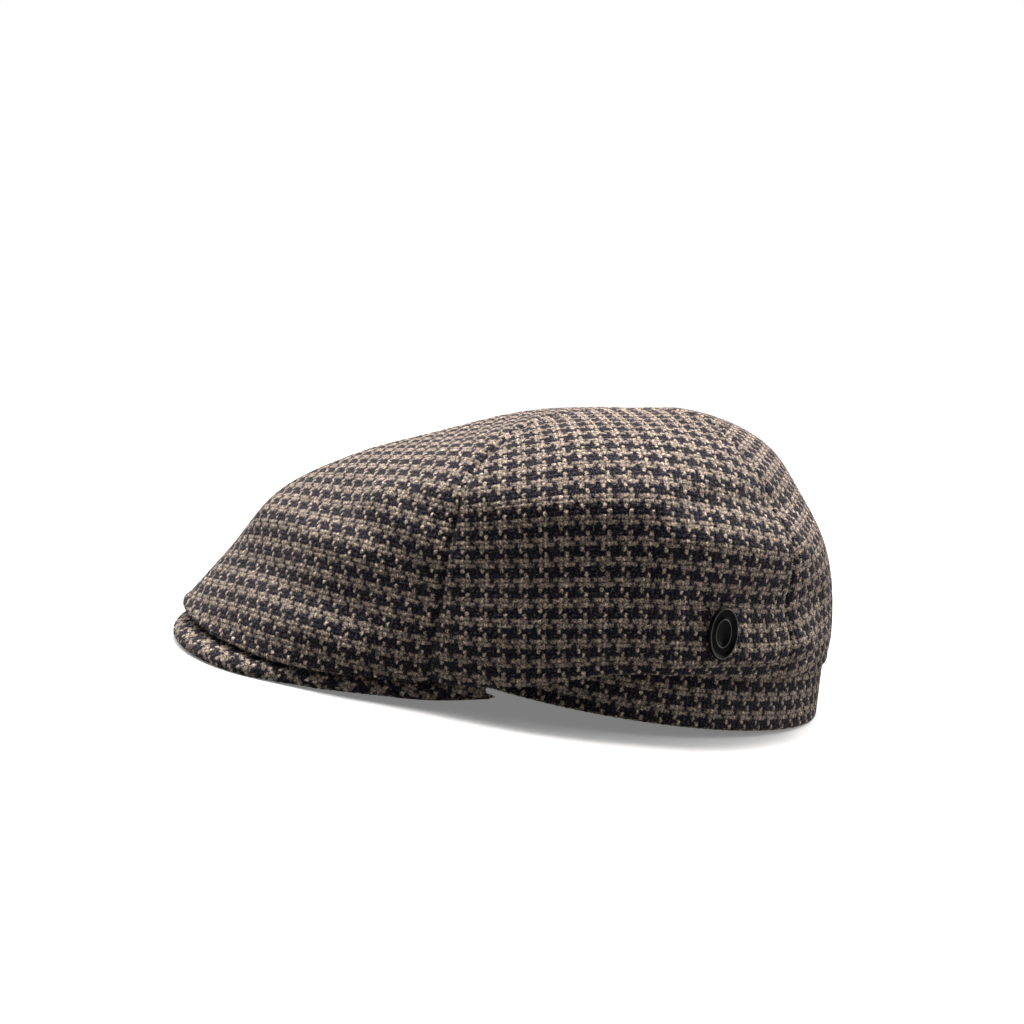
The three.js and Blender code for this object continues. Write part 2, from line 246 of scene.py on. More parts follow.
def turn_edges_in(cloth):
    """Join each run of open edge to the run nearest it, so that the cloth has no raw edge."""
    runs = joined_runs([edge for edge in cloth.edges if edge.is_boundary])
    places = [np.array([edge.verts[0].co[:] for edge in run]) for run in runs]
    while len(runs) > 1:
        run, here = runs.pop(0), places.pop(0)
        apart = [np.linalg.norm(here[:, None] - there, axis=-1).min(1).mean() for there in places]
        nearest = int(np.argmin(apart))
        places.pop(nearest)
        bmesh.ops.bridge_loops(cloth, edges=run + runs.pop(nearest))


def woven_piece(name, grid, pattern, thickness):
    """A closed piece of cloth: woven threads outside, a plain inner face and turned edges.
    thickness is a number for each row of the grid."""
    depth_grid = np.broadcast_to(np.asarray(thickness, float)[:, None], grid.shape[:2])
    places, quads, threads = [], [], []
    for face, steps in POINTS_TO_THREAD.items():
        position, normal, height, depth, spot, faces = sheet_on(grid, pattern, depth_grid, steps)
        if face == "inside":
            height = -depth
            faces = faces[:, ::-1] + len(places[0])
        lifted = position + normal * height[:, None]
        lifted[:, 2] = np.maximum(lifted[:, 2], 0)
        places.append(lifted * MM)
        quads.append(faces)
        threads.append(spot)
    places, quads, threads = np.concatenate(places), np.concatenate(quads), np.concatenate(threads)
    used, renumbered = np.unique(quads, return_inverse=True)
    renumbered = renumbered.reshape(quads.shape)
    mesh = bpy.data.meshes.new(name)
    mesh.from_pydata(places[used].tolist(), [], renumbered.tolist())
    mesh.uv_layers.new(name="threads").data.foreach_set("uv", threads[quads].ravel().astype(np.float32))
    cloth = bmesh.new()
    cloth.from_mesh(mesh)
    bmesh.ops.remove_doubles(cloth, verts=cloth.verts, dist=WELD)
    bmesh.ops.dissolve_degenerate(cloth, edges=cloth.edges, dist=WELD)
    turn_edges_in(cloth)
    cloth.to_mesh(mesh)
    cloth.free()
    mesh.polygons.foreach_set("use_smooth", np.ones(len(mesh.polygons), bool))
    piece = bpy.data.objects.new(name, mesh)
    bpy.context.scene.collection.objects.link(piece)
    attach(piece, "root")
    return piece


def node(tree, kind, *inputs, **settings):
    """One shader node: inputs are numbers, colours or sockets, in the order of its sockets."""
    made = tree.nodes.new(kind)
    for key, value in settings.items():
        setattr(made, key, value)
    for socket, value in zip(made.inputs, inputs):
        if isinstance(value, bpy.types.NodeSocket):
            tree.links.new(value, socket)
        elif value is not None:
            socket.default_value = value
    return made


def sum_of(tree, operation, *inputs):
    """The result of one sum on numbers or sockets."""
    return node(tree, "ShaderNodeMath", *inputs, operation=operation).outputs[0]


def blend_of(tree, share, first, second):
    """A share of the way from the first colour to the second."""
    made = node(tree, "ShaderNodeMix", data_type="RGBA")
    for socket, value in zip((made.inputs[0], made.inputs[6], made.inputs[7]), (share, first, second)):
        if isinstance(value, bpy.types.NodeSocket):
            tree.links.new(value, socket)
        else:
            socket.default_value = value
    return made.outputs[2]


LIGHT_YARN = (0.87, 0.70, 0.56, 1)
DARK_YARN = (0.012, 0.012, 0.029, 1)
NAP_COLOUR = (0.14, 0.125, 0.165, 1)
STRAY_REACH = 1.6
COUNT_FROM = 400.0


def tweed(name):
    """Plain weave of two light and two dark yarns each way, which makes a small star check."""
    material = bpy.data.materials.new(name)
    material.use_nodes = True
    tree = material.node_tree
    shader = tree.nodes["Principled BSDF"]
    threads = node(tree, "ShaderNodeUVMap", uv_map="threads").outputs[0]

    # Each thread strays a little from its line. Counting starts far off, so that it is never negative.
    stray = node(tree, "ShaderNodeTexNoise", threads, None, 2.0, 4.0, 0.8, noise_dimensions="2D")
    centred = node(tree, "ShaderNodeVectorMath", stray.outputs["Color"], (0.5, 0.5, 0.5),
                   operation="SUBTRACT").outputs[0]
    wander = node(tree, "ShaderNodeVectorMath", centred, operation="SCALE")
    wander.inputs["Scale"].default_value = STRAY_REACH
    moved = node(tree, "ShaderNodeVectorMath", threads, wander.outputs[0], operation="ADD").outputs[0]
    split = node(tree, "ShaderNodeSeparateXYZ", moved)
    u = sum_of(tree, "ADD", split.outputs[0], COUNT_FROM)
    v = sum_of(tree, "ADD", split.outputs[1], COUNT_FROM)
    column, row = sum_of(tree, "FLOOR", u), sum_of(tree, "FLOOR", v)
    part_u, part_v = sum_of(tree, "FRACT", u), sum_of(tree, "FRACT", v)

    # Which yarn is on top, and whether it is a light one.
    off_warp = sum_of(tree, "SUBTRACT", part_u, 0.5)
    on_warp = sum_of(tree, "LESS_THAN", sum_of(tree, "ABSOLUTE", off_warp), WARP_WIDTH / 2)
    warp_raised = sum_of(tree, "MODULO", sum_of(tree, "ADD", column, row), 2.0)
    warp_on_top = sum_of(tree, "MULTIPLY", warp_raised, on_warp)
    half = YARNS_IN_CHECK / 2 - 0.5
    warp_light = sum_of(tree, "LESS_THAN", sum_of(tree, "MODULO", column, float(YARNS_IN_CHECK)), half)
    weft_light = sum_of(tree, "LESS_THAN", sum_of(tree, "MODULO", row, float(YARNS_IN_CHECK)), half)

    def of_top(weft, warp):
        made = node(tree, "ShaderNodeMix", warp_on_top, data_type="FLOAT")
        tree.links.new(weft, made.inputs[2])
        tree.links.new(warp, made.inputs[3])
        return made.outputs[0]

    is_light = of_top(weft_light, warp_light)
    across = of_top(part_v, sum_of(tree, "MULTIPLY_ADD", off_warp, 1 / WARP_WIDTH, 0.5))
    along = of_top(part_u, part_v)

    # Fibres run along each yarn with a twist, some of them coloured. Specks are where the yarn's own
    # wool is mixed, the blotch is uneven dye, and the nap is hair combed across the cloth.
    yarn = sum_of(tree, "ADD", sum_of(tree, "MULTIPLY", of_top(row, column), 3.7), warp_on_top)
    twist = sum_of(tree, "ADD", sum_of(tree, "MULTIPLY", across, 2.0), sum_of(tree, "MULTIPLY", along, 0.9))
    run = sum_of(tree, "MULTIPLY", of_top(u, v), 1.1)
    fibre_at = node(tree, "ShaderNodeCombineXYZ", twist, run, yarn).outputs[0]
    fibres = node(tree, "ShaderNodeTexNoise", fibre_at, None, 1.0, 2.0, 0.7).outputs[0]
    flecks = node(tree, "ShaderNodeTexNoise", fibre_at, None, 0.8, 2.0, 0.6).outputs["Color"]
    specks = node(tree, "ShaderNodeTexNoise", threads, None, 2.6, 1.0, 0.6, noise_dimensions="2D").outputs[0]
    blotch = node(tree, "ShaderNodeTexNoise", threads, None, 0.09, 2.0, 0.5).outputs[0]
    combed = node(tree, "ShaderNodeVectorMath", threads, (0.7, 3.2, 1.0), operation="MULTIPLY").outputs[0]
    nap = node(tree, "ShaderNodeTexNoise", combed, None, 1.3, 4.0, 0.7, 2.0, 1.2,
               noise_dimensions="2D").outputs[0]

    # Painted shade: a yarn is darkened at its sides, where it dives under, and where the weft lies sunk below
    # the raised warp, which is painted a little lighter.
    from_middle = sum_of(tree, "ABSOLUTE", sum_of(tree, "SUBTRACT", across, 0.5))
    from_end = sum_of(tree, "ABSOLUTE", sum_of(tree, "SUBTRACT", along, 0.5))
    painted_shade_at_sides = node(tree, "ShaderNodeMapRange", from_middle, 0.26, 0.5, 1.0, 0.15).outputs[0]
    warp_end_painted_shade = node(tree, "ShaderNodeMapRange", from_end, 0.34, 0.5, 1.0, 0.5).outputs[0]
    weft_end_painted_shade = node(tree, "ShaderNodeMapRange", from_end, 0.4, 0.5, 1.0, 0.8).outputs[0]
    # Painted shade at a yarn's ends, where it dives under the crossing one.
    ends = of_top(weft_end_painted_shade, warp_end_painted_shade)
    painted_light_and_shade_by_rise = sum_of(tree, "MULTIPLY_ADD", warp_on_top, 0.35, 0.7)
    mixed = node(tree, "ShaderNodeMapRange", specks, 0.3, 0.66, -0.85, 0.2).outputs[0]
    share = node(tree, "ShaderNodeClamp", sum_of(tree, "ADD", is_light, mixed), 0.0, 1.0).outputs[0]
    lustre = node(tree, "ShaderNodeMapRange", fibres, 0.3, 0.7, 0.2, 1.8).outputs[0]
    # All the painted shade, times the random fibre tone and the uneven dye.
    painted_shade_and_fibre_tone = sum_of(tree, "MULTIPLY", sum_of(tree, "MULTIPLY", painted_light_and_shade_by_rise, sum_of(tree, "MULTIPLY", ends, painted_shade_at_sides)),
                   sum_of(tree, "MULTIPLY", lustre, sum_of(tree, "MULTIPLY_ADD", blotch, 0.4, 0.8)))

    base = blend_of(tree, share, DARK_YARN, LIGHT_YARN)
    tinted = node(tree, "ShaderNodeMix", data_type="RGBA", blend_type="SOFT_LIGHT")
    tinted.inputs[0].default_value = 0.25
    tree.links.new(base, tinted.inputs[6])
    tree.links.new(flecks, tinted.inputs[7])
    # The yarn colour darkened by the painted shade and the random tone.
    painted_shade_and_tone_colour = node(tree, "ShaderNodeVectorMath", tinted.outputs[2], operation="SCALE")
    tree.links.new(painted_shade_and_fibre_tone, painted_shade_and_tone_colour.inputs["Scale"])
    hair = node(tree, "ShaderNodeMapRange", nap, 0.56, 0.74, 0.0, 0.35).outputs[0]
    haired = blend_of(tree, hair, painted_shade_and_tone_colour.outputs[0], NAP_COLOUR)
    tree.links.new(haired, shader.inputs["Base Color"])
    shader.inputs["Roughness"].default_value = 0.95
    shader.inputs["Specular IOR Level"].default_value = 0.15
    shader.inputs["Sheen Weight"].default_value = 0.18
    shader.inputs["Sheen Roughness"].default_value = 0.45
    shader.inputs["Sheen Tint"].default_value = (0.78, 0.72, 0.74, 1)
    bump = node(tree, "ShaderNodeBump", 0.7, 0.0006)
    tree.links.new(sum_of(tree, "ADD", fibres, specks), bump.inputs["Height"])
    tree.links.new(bump.outputs[0], shader.inputs["Normal"])
    return material


wool = tweed("woollen_check")
band_turn = np.linspace(-np.pi, np.pi, BAND_TURNS)
band_foot = rim_height(band_turn)
band_head = BAND["front_top"] + (BAND["back_top"] - BAND["front_top"]) * (1 - np.cos(band_turn)) / 2
degrees_round = np.abs(np.degrees(band_turn))
crease_fade = np.clip((BAND_CREASE["to"] - degrees_round) / BAND_CREASE["fade"], 0, 1)
crease_fade = crease_fade * (degrees_round > BAND_CREASE["from"])
outer_rows = []
for share in np.linspace(1, BAND_FOOT_SHARE, 40):
    up = share * BAND["front_top"]
    dent = BAND_CREASE["depth"] * np.exp(-((up - BAND_CREASE["height"]) / BAND_CREASE["half_width"]) ** 2)
    outset = -BAND["lean"] * share - dent * crease_fade
    outer_rows.append(rim_points(band_turn, band_foot + (band_head - band_foot) * share, outset))
fold_rows = []
for turn in np.radians(np.linspace(*FOLD_DEGREES, 8)):
    outset = -BAND["wall"] / 2 + BAND["wall"] / 2 * np.cos(turn)
    fold_rows.append(rim_points(band_turn, band_foot + BAND["fold"] * (1 - np.sin(turn)), outset))
inner_rows = []
for share in np.linspace(BAND_FOOT_SHARE, 1, 10):
    outset = -BAND["lean"] * share - BAND["wall"]
    inner_rows.append(rim_points(band_turn, band_foot + (band_head - band_foot) * share, outset))
band_grid = as_it_lies(np.stack(outer_rows + fold_rows + inner_rows))
band_run = np.concatenate([[0], np.cumsum(np.linalg.norm(np.diff(rim_points(band_turn, 0), axis=0), axis=1))])
checks_round = np.round(band_run[-1] / (THREAD * YARNS_IN_CHECK))
band_run *= checks_round * THREAD * YARNS_IN_CHECK / band_run[-1]
foot_row = len(outer_rows) + len(fold_rows) // 2
side_column = int(np.argmin(np.abs(np.degrees(band_turn) - DRAFTED_AT)))
band_drop = np.linalg.norm(np.diff(band_grid[:, side_column], axis=0), axis=1)
band_drop = np.concatenate([[0], np.cumsum(band_drop)])
below_foot = band_drop[foot_row] - band_drop
band_pattern = np.stack(np.broadcast_arrays(band_run[None, :], below_foot[:, None]), -1)
band_pattern = band_pattern + np.array([0.0, DRAFT_RISE])
head_band = woven_piece("head_band", band_grid, band_pattern, np.full(len(band_grid), COVER))
head_band.data.materials.append(wool)
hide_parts("band")

# ---- peak ---------------------------------------------------------------------------------------
# The peak is a stiff board between two faces of the same cloth, bent over the brow. The upper face
# runs over the edge and is sewn to the under face just inside it. Its root is sewn into the rim.
PEAK = {"thick": 4.5, "slope": 0.325, "arch": 0.00298, "arch_gain": 0.000015, "root": 71, "clear": 0.45}
PEAK_OUTLINE = np.array([
    # across, along
    (0, -170.5),
    (26, -166.5),
    (48, -154),
    (64, -135.5),
    (74, -109),
    (80, -80),
    (82.5, -57),
    (81.5, -38),
], float)


def smooth_curve(knots, values, first=None, last=None):
    """A curve through the values whose slopes at the knots are weighted means of the chords."""
    knots, values = np.asarray(knots, float), np.asarray(values, float)
    step = np.diff(knots)
    chord = np.diff(values) / step
    slope = np.concatenate([chord[:1], (chord[:-1] * step[1:] + chord[1:] * step[:-1])
                            / (step[1:] + step[:-1]), chord[-1:]])
    if first is not None:
        slope[0] = first
    if last is not None:
        slope[-1] = last

    def curve(x):
        x = np.asarray(x, float)
        i = np.clip(np.searchsorted(knots, x) - 1, 0, len(step) - 1)
        u = (x - knots[i]) / step[i]
        v = 1 - u
        ends = v * v * (1 + 2 * u) * values[i] + u * u * (1 + 2 * v) * values[i + 1]
        return ends + u * v * step[i] * (v * slope[i] - u * slope[i + 1])

    return curve


def peak_underside(x, y):
    forward = y + RIM_REACH["front"]
    return PEAK["slope"] * forward - (PEAK["arch"] + PEAK["arch_gain"] * forward) * x * x


def peak_top(x, y):
    across_slope = 2 * (PEAK["arch"] + PEAK["arch_gain"] * (y + RIM_REACH["front"])) * x
    return peak_underside(x, y) + PEAK["thick"] * np.sqrt(1 + across_slope ** 2 + PEAK["slope"] ** 2)


outline_run = np.concatenate([[0], np.cumsum(np.linalg.norm(np.diff(PEAK_OUTLINE, axis=0), axis=1))])
outline_x = smooth_curve(outline_run, PEAK_OUTLINE[:, 0])
outline_y = smooth_curve(outline_run, PEAK_OUTLINE[:, 1], first=0)
peak_share = np.linspace(-1, 1, 121)
peak_run = np.abs(peak_share) * outline_run[-1]
edge_plan = np.stack([np.sign(peak_share) * outline_x(peak_run), outline_y(peak_run)], -1)
root_plan = rim_points(peak_share * np.radians(PEAK["root"]), 0, PEAK["clear"])[:, :2]
reach_out = np.linalg.norm(edge_plan - root_plan, axis=1)
roll = PEAK["thick"] / 2
EDGE_SHARE = 0.12


def peak_row(inset, is_top):
    """A row of points across one face of the peak, at a distance inside its edge."""
    width = np.clip(1 - inset / reach_out, 0, 1)
    plan = root_plan + (edge_plan - root_plan) * width[:, None]
    top = peak_top(plan[:, 0], plan[:, 1])
    under = peak_underside(plan[:, 0], plan[:, 1])
    middle = (top + under) / 2
    rounding = np.sqrt(np.clip(1 - (1 - np.clip(inset / roll, 0, 1)) ** 2, 0, 1))
    side = 1 if is_top else -1
    return np.concatenate([plan, (middle + side * (top - middle) * rounding)[:, None]], 1)


edge_insets = roll * (1 - np.cos(np.radians(np.linspace(0, 90, 9))))
top_rows = [peak_row(reach_out * share, True) for share in np.linspace(1, EDGE_SHARE, 24)]
top_rows += [peak_row(inset, True) for inset in edge_insets[::-1]]
turned_rows = [peak_row(inset, False) for inset in edge_insets[1:]]
under_rows = [peak_row(reach_out * share, False) for share in np.linspace(EDGE_SHARE, 1, 16)]
peak_grid = as_it_lies(np.stack(top_rows + turned_rows + under_rows))
join_row = len(top_rows) + len(turned_rows)
upper_grid = peak_grid[:join_row]
upper_face = woven_piece("peak_upper", upper_grid, flat_pattern(upper_grid), np.full(join_row, COVER))
upper_face.data.materials.append(wool)
under_grid = peak_grid[join_row - 1:]
under_thickness = np.full(len(under_grid), COVER)
under_face = woven_piece("peak_under", under_grid, flat_pattern(under_grid), under_thickness)
under_face.data.materials.append(wool)
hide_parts("peak")

# ---- crown --------------------------------------------------------------------------------------
# The crown is six gores of the same cloth, each cut a little off the straight grain and seamed to
# its neighbours. It is drawn forward over the peak, folded under at its hem and sewn to the band.
CLOTH = 1.3
TURNED_HEM = 0.3
APEX_HEIGHT = 107
APEX_TILT = 0.2
GAP_ON_PEAK = 0.7
# The crown's outer surface: (reach from the apex, height) at each place down a line, for each angle
# round the crown from the front. The seat is where the turned-under hem is sewn down.
CROWN_LINES = [
    # angle, then crest, slope, shoulder, wall,
    # belly, cuff, hem, seat
    (0, (42, 97.3), (80, 79.8), (113, 62.8), (139.3, 42),
     (154.2, 15), (164.4, -2.5), (169.4, -11), (153, -13)),
    (25, (42, 97.8), (76, 82.3), (104, 65.6), (121.5, 44),
     (135.5, 15), (142.5, -2.5), (144.5, -12.5), (134, -10)),
    (55, (40, 101.3), (79, 88), (95.5, 75), (102.3, 61),
     (105, 28), (105, 9), (101.5, -3), (95, 1.5)),
    (75, (38, 103.8), (79, 92.2), (93.5, 81), (98, 68),
     (99, 38), (99, 18), (96, 5), (86.5, 17)),
    (90, (36, 105.6), (76, 95.5), (91, 84.5), (95.6, 71),
     (96.5, 44), (96.5, 27), (93, 14.5), (84.2, 22.3)),
    (110, (34, 108.2), (71, 98.2), (86.5, 86.8), (92.8, 72),
     (96, 45), (95.5, 31), (91.5, 20.5), (84.3, 22.6)),
    (135, (30, 110.6), (58.3, 101.9), (75.8, 88.3), (89.6, 70),
     (95.6, 44), (96.3, 31), (94, 21.5), (89, 23.4)),
    (180, (25, 111.3), (58.6, 102.9), (73.2, 88.7), (88, 70),
     (97.6, 44), (99.7, 31), (99.8, 23.9), (97.2, 24.1)),
]
FRONT_SEAM = (46, 43, 50.5, 52.5, 54, 55, 55.2, 55.3, 55.5)
BACK_SEAM = (135, 133, 129.5, 131.5, 133, 134.5, 135.5, 136, 136)
HEM_ROW, SEAT_ROW = 7, 8
SEAM_GROOVE = {"depth": 1.3, "half_width": 1.3, "puff": 0.6, "puff_at": 8.0}
# Soft folds where the crown sags on to its hem: points as (degrees, row), then rise and half width.
SOFT_FOLDS = [
    (((36, 3.55), (62, 3.75), (74, 3.8), (92, 3.6)), 2.0, 8.0),
    (((56, 4.6), (75, 4.7), (92, 4.6)), -0.9, 8.0),
    (((33, 3.68), (48, 4.28), (56, 4.62)), 1.8, 7.0),
    (((8, 4.3), (27, 4.3), (40, 4.5)), 2.0, 7.0),
    (((14, 4.9), (29, 5.0), (40, 5.2)), -1.6, 6.5),
    (((36, 5.7), (42, 6.2)), 1.4, 6.0),
    (((103, 3.24), (119, 3.16), (140, 3.22)), -2.4, 6.0),
    (((100, 4.1), (122, 4.1), (140, 3.95)), 2.2, 7.0),
    (((108, 4.95), (124, 4.82), (150, 4.74)), -2.6, 6.5),
    (((104, 6.5), (109, 6.4), (122, 6.0), (144, 5.6)), 2.2, 5.0),
]
# How far the hem stands out, how far it lifts off the peak, and how softly its fold is rounded.
HEM_STAND = 0.9
HEM_LIFT_ON_PEAK = 1.4
HEM_ROUNDING = 1.5

line_angles = [line[0] for line in CROWN_LINES]
round_crown = [
    [smooth_curve(line_angles, [line[row][part] for line in CROWN_LINES], first=0, last=0) for part in (0, 1)]
    for row in range(1, SEAT_ROW + 1)
]
LINE_STEP = 0.5
ROW_STEPS = 24


def crown_line(degrees):
    """The crown's (reach, height) at ROW_STEPS places in each stretch of one line, the hem rounded."""
    reach = np.array([0] + [float(r(degrees)) for r, _ in round_crown])
    height = np.array([APEX_HEIGHT] + [float(h(degrees)) for _, h in round_crown])
    for row in (HEM_ROW, SEAT_ROW):
        x = reach[row] * np.sin(np.radians(degrees))
        y = -reach[row] * np.cos(np.radians(degrees))
        if degrees < PEAK["root"]:
            lift = HEM_LIFT_ON_PEAK if row == HEM_ROW else 0
            height[row] = max(height[row], peak_top(x, y) + GAP_ON_PEAK + lift)
    chord = np.concatenate([[0], np.cumsum(np.hypot(np.diff(reach[:SEAT_ROW]), np.diff(height[:SEAT_ROW])))])
    spots = np.interp(np.arange(HEM_ROW * ROW_STEPS + 1) / ROW_STEPS, np.arange(SEAT_ROW), chord)
    line_reach = smooth_curve(chord, reach[:SEAT_ROW], first=1)(spots)
    tilt = -APEX_TILT * np.cos(np.radians(degrees))
    line_height = smooth_curve(chord, height[:SEAT_ROW], first=tilt)(spots)
    flap = np.linspace(0, 1, ROW_STEPS + 1)[1:]
    line_reach = np.append(line_reach, reach[HEM_ROW] + (reach[SEAT_ROW] - reach[HEM_ROW]) * flap)
    line_height = np.append(line_height, height[HEM_ROW] + (height[SEAT_ROW] - height[HEM_ROW]) * flap)
    line = np.stack([line_reach, line_height], -1)
    travel = np.concatenate([[0], np.cumsum(np.linalg.norm(np.diff(line, axis=0), axis=1))])
    even = np.arange(travel[0], travel[-1], LINE_STEP)
    evened = np.stack([np.interp(even, travel, line[:, part]) for part in (0, 1)], -1)
    reach_of_blur = int(3 * HEM_ROUNDING / LINE_STEP)
    kernel = np.exp(-0.5 * (np.arange(-reach_of_blur, reach_of_blur + 1) * LINE_STEP / HEM_ROUNDING) ** 2)
    kernel /= kernel.sum()
    padded = np.pad(evened, ((reach_of_blur, reach_of_blur), (0, 0)), mode="edge")
    blurred = np.stack([np.convolve(padded[:, part], kernel, mode="valid") for part in (0, 1)], -1)
    near_hem = np.exp(-((even - travel[HEM_ROW * ROW_STEPS]) / (3 * HEM_ROUNDING)) ** 4)[:, None]
    evened = evened + (blurred - evened) * near_hem
    return np.stack([np.interp(travel, even, evened[:, part]) for part in (0, 1)], -1)


crown_degrees = np.arange(0, 181)
crown_table = np.stack([crown_line(degrees) for degrees in crown_degrees])


def crown_points(angle, row):
    """Points of the crown at angles in radians and rows of the table, the head opening level."""
    degrees = np.clip(np.degrees(np.abs(angle)), 0, 180)
    spot = np.clip(row * ROW_STEPS, 0, SEAT_ROW * ROW_STEPS)
    i, j = np.minimum(degrees.astype(int), 179), np.minimum(spot.astype(int), SEAT_ROW * ROW_STEPS - 1)
    s, t = (degrees - i)[..., None], (spot - j)[..., None]
    here = crown_table[i, j] * (1 - s) * (1 - t) + crown_table[i + 1, j] * s * (1 - t)
    here = here + crown_table[i, j + 1] * (1 - s) * t + crown_table[i + 1, j + 1] * s * t
    return np.stack([here[..., 0] * np.sin(angle), -here[..., 0] * np.cos(angle), here[..., 1]], -1)


GORE_ROWS = np.concatenate([np.linspace(0.025, 6, 70), np.linspace(6, SEAT_ROW, 34)[1:]])
GORE_THICKNESS = np.interp(GORE_ROWS, [HEM_ROW - 0.6, HEM_ROW - 0.2], [CLOTH, TURNED_HEM])


def soft_folds(grid):
    """How far each point of the crown is lifted by the soft folds."""
    lift = np.zeros(grid.shape[:2])
    for places, rise, half_width in SOFT_FOLDS:
        turn, row = np.radians([place[0] for place in places]), np.array([place[1] for place in places])
        along = as_it_lies(crown_points(turn, row))
        distance = np.full(lift.shape, np.inf)
        for start, end in zip(along, along[1:]):
            share = np.clip((grid - start) @ (end - start) / ((end - start) @ (end - start)), 0, 1)
            nearest = start + share[..., None] * (end - start)
            distance = np.minimum(distance, np.linalg.norm(grid - nearest, axis=-1))
        lift += rise * np.exp(-(distance / half_width) ** 2)
    return lift


# Places across a gore, as shares of its width, closest together beside its seams.
NEAR_SEAM = np.array([0, 0.005, 0.011, 0.018, 0.027, 0.038, 0.052, 0.07, 0.093])
GORE_COLUMNS = np.concatenate([NEAR_SEAM, np.linspace(0.12, 0.88, 27), 1 - NEAR_SEAM[::-1]])


def gore_grid(from_seam, to_seam):
    """A gore's outer surface between two seams, puffed between them and drawn in along them."""
    rows = GORE_ROWS
    table_rows = np.arange(SEAT_ROW + 1)
    start = np.radians(smooth_curve(table_rows, from_seam)(rows))[:, None]
    end = np.radians(smooth_curve(table_rows, to_seam)(rows))[:, None]
    angle = start + (end - start) * GORE_COLUMNS[None, :]
    grid = as_it_lies(crown_points(angle, np.broadcast_to(rows[:, None], angle.shape)))
    step = np.linalg.norm(np.diff(grid, axis=1), axis=2)
    from_start = np.concatenate([np.zeros((len(rows), 1)), np.cumsum(step, axis=1)], 1)
    to_seam_distance = np.minimum(from_start, from_start[:, -1:] - from_start)
    fade = np.clip(rows[:, None] / 1.2, 0.1, 1)
    groove = -SEAM_GROOVE["depth"] * fade * np.exp(-(to_seam_distance / SEAM_GROOVE["half_width"]) ** 2)
    puff = SEAM_GROOVE["puff"] * (to_seam_distance / SEAM_GROOVE["puff_at"]) * np.exp(
        1 - to_seam_distance / SEAM_GROOVE["puff_at"])
    stand = HEM_STAND * np.interp(rows, [HEM_ROW - 0.5, HEM_ROW - 0.05, HEM_ROW + 0.25], [0, 1, 0])
    return grid + surface_normals(grid) * (groove + puff + stand[:, None] + soft_folds(grid))[..., None]


def mirrored(grid):
    """The same gore on the wearer's other side."""
    return (grid * np.array([-1, 1, 1]))[:, ::-1]


GORES = [
    # place, from seam, to seam, grain turn
    ("front", (0,) * 9, FRONT_SEAM, -11),
    ("side", FRONT_SEAM, BACK_SEAM, -6),
    ("back", BACK_SEAM, (180,) * 9, -10),
]
for place, from_seam, to_seam, grain_turn in GORES:
    left = gore_grid(from_seam, to_seam)
    pattern = flat_pattern(left)
    turn = np.radians(grain_turn)
    grain = np.array([[np.cos(turn), -np.sin(turn)], [np.sin(turn), np.cos(turn)]])
    pattern = pattern @ grain.T
    opposite = (pattern * np.array([-1, 1]))[:, ::-1]
    for side, grid, cut in (("left", left, pattern), ("right", mirrored(left), opposite)):
        gore = woven_piece(f"{place}_gore_{side}", grid, cut, GORE_THICKNESS)
        gore.data.materials.append(wool)
        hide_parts(f"crown_{place}_{side}")

# ---- pin ----------------------------------------------------------------------------------------
# A small oval pin of dark gunmetal with a raised rim, pressed on to the cloth near the back.
PIN_RIM = [
    # share of half size, rise, is the step out to the next ring bright
    (0.00, 0.62, False),
    (0.46, 0.60, False),
    (0.50, 0.80, True),
    (0.53, 0.80, False),
    (0.57, 0.56, False),
    (0.82, 0.56, False),
    (0.87, 0.92, False),
    (0.90, 1.05, True),
    (0.93, 1.04, False),
    (0.99, 0.70, False),
    (1.00, 0.40, False),
    (0.97, 0.05, False),
    (0.90, 0.00, False),
]
PIN_SEGMENTS = 72
PIN_FULL_RISE = 0.95
pin_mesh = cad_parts["pin_badge"].data
pin_points = np.array([vertex.co[:] for vertex in pin_mesh.vertices])
pin_middle = (pin_points.max(0) + pin_points.min(0)) / 2
spread = pin_points - pin_points.mean(0)
axes = np.linalg.svd(spread, full_matrices=False)[2]
pin_up = axes[0] * np.sign(axes[0][2])
pin_out = axes[2] * np.sign(axes[2][0])
pin_side = np.cross(pin_up, pin_out)
half_tall = np.abs(spread @ pin_up).max()
half_wide = np.abs(spread @ pin_side).max()
pin_rise = np.ptp(spread @ pin_out)
pin_back = pin_points.mean(0) + pin_out * (spread @ pin_out).min()
badge = bmesh.new()
turns = np.linspace(0, 2 * np.pi, PIN_SEGMENTS, endpoint=False)
centre_front = badge.verts.new(pin_back + pin_out * PIN_RIM[0][1] * pin_rise)
rings = []
for share, rise, _ in PIN_RIM[1:]:
    ring = [
        badge.verts.new(pin_back + pin_out * rise * pin_rise * PIN_FULL_RISE
                        + pin_side * half_wide * share * np.cos(turn)
                        + pin_up * half_tall * share * np.sin(turn))
        for turn in turns
    ]
    rings.append(ring)
centre_back = badge.verts.new(pin_back)
for k in range(PIN_SEGMENTS):
    after = (k + 1) % PIN_SEGMENTS
    badge.faces.new((centre_front, rings[0][k], rings[0][after]))
    badge.faces.new((centre_back, rings[-1][after], rings[-1][k]))
    for (_, _, is_bright), inner, outer in zip(PIN_RIM[1:], rings, rings[1:]):
        facet = badge.faces.new((inner[k], outer[k], outer[after], inner[after]))
        facet.material_index = int(is_bright)
for face in badge.faces:
    face.smooth = True
bmesh.ops.recalc_face_normals(badge, faces=badge.faces)
pin_body = bpy.data.meshes.new("oval_pin")
badge.to_mesh(pin_body)
badge.free()
oval_pin = bpy.data.objects.new("oval_pin", pin_body)
bpy.context.scene.collection.objects.link(oval_pin)


